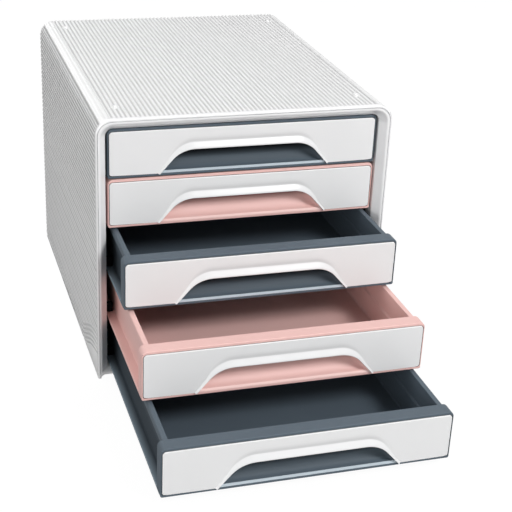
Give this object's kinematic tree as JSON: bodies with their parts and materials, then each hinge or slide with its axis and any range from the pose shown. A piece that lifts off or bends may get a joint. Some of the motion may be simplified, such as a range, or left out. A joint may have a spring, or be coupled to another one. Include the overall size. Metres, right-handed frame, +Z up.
{
  "type": "desktop drawer unit",
  "caption": "Desktop drawer unit with a ribbed white casing and sliding slate grey and pink trays behind glossy white fronts with finger grips.",
  "frame": {"origin": "on the floor, under the middle of the whole, with the drawers as they stand in the picture", "axes": "+Z up, +Y to the back of the unit, +X to its right seen from the front; drawers open towards -Y"},
  "size_m": [0.288, 0.5798, 0.2678],
  "materials": {
    "casing_white": "gloss",
    "fascia_white": "high gloss",
    "tray_slate": "satin",
    "tray_pink": "satin",
    "inner_black": "matt",
    "pad_rubber": "matt"
  },
  "bodies": {
    "casing": {"outer_shell": "casing_white", "front_bezel": "casing_white", "back_panel": "casing_white", "base_panel": "inner_black", "runner_panel_left": "inner_black", "runner_panel_right": "inner_black", "foot_pad_front_left": "pad_rubber", "foot_pad_rear_left": "pad_rubber", "foot_pad_front_right": "pad_rubber", "foot_pad_rear_right": "pad_rubber"},
    "drawer_1": {"tray_1": "tray_slate", "fascia_1": "fascia_white"},
    "drawer_2": {"tray_2": "tray_pink", "fascia_2": "fascia_white"},
    "drawer_3": {"tray_3": "tray_slate", "fascia_3": "fascia_white"},
    "drawer_4": {"tray_4": "tray_pink", "fascia_4": "fascia_white"},
    "drawer_5": {"tray_5": "tray_slate", "fascia_5": "fascia_white"}
  },
  "joints": [
    {"name": "drawer_1_slide", "type": "slide", "parent": "casing", "child": "drawer_1", "axis": [0, -1, 0], "range_m": [0, 0.255]},
    {"name": "drawer_2_slide", "type": "slide", "parent": "casing", "child": "drawer_2", "axis": [0, -1, 0], "range_m": [0, 0.255]},
    {"name": "drawer_3_slide", "type": "slide", "parent": "casing", "child": "drawer_3", "axis": [0, -1, 0], "range_m": [-0.074, 0.181]},
    {"name": "drawer_4_slide", "type": "slide", "parent": "casing", "child": "drawer_4", "axis": [0, -1, 0], "range_m": [-0.152, 0.103]},
    {"name": "drawer_5_slide", "type": "slide", "parent": "casing", "child": "drawer_5", "axis": [0, -1, 0], "range_m": [-0.227, 0.028]}
  ]
}
